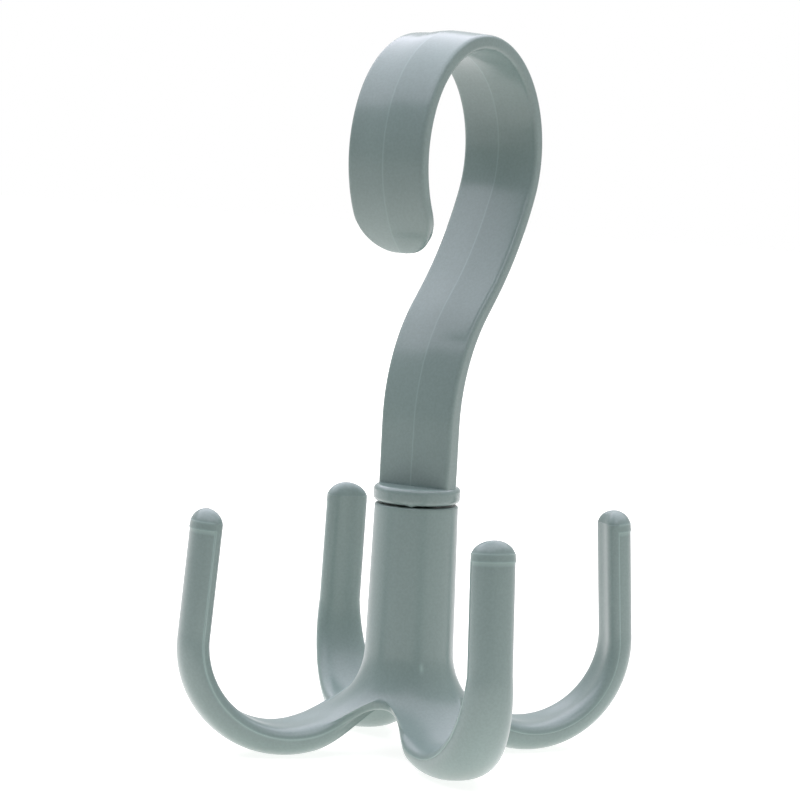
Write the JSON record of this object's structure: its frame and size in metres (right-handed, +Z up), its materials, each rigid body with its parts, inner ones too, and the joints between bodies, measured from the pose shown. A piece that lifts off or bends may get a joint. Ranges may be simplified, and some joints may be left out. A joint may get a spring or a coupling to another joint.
{
  "type": "rotating wardrobe hook",
  "caption": "Question-mark hook of flat moulded strip for a clothes rail, carrying a freely spinning carousel of upturned claws for bags, belts, ties and scarves.",
  "frame": {"origin": "the rail seat, at the crown of the loop's inner face, on the strip's middle line, where a clothes rail carries the hook", "axes": "+Z up; the hook lies in the XZ plane and the rail runs along Y; the swivel axis is parallel to Z at x = -5.7 mm, and the loop's mouth opens towards -X"},
  "size_m": [0.0848, 0.0848, 0.1562],
  "materials": {
    "hook_plastic": "satin moulded polypropylene, pale grey-green",
    "carousel_plastic": "satin moulded polypropylene, pale grey-green"
  },
  "bodies": {
    "hook": {"swivel_hook": "hook_plastic"},
    "carousel": {"claw_carousel": "carousel_plastic"}
  },
  "joints": [
    {"name": "claw_spin", "type": "hinge", "parent": "hook", "child": "carousel", "pos_m": [-0.00569, 0, -0.09699], "axis": [0, 0, 1], "continuous": true}
  ]
}
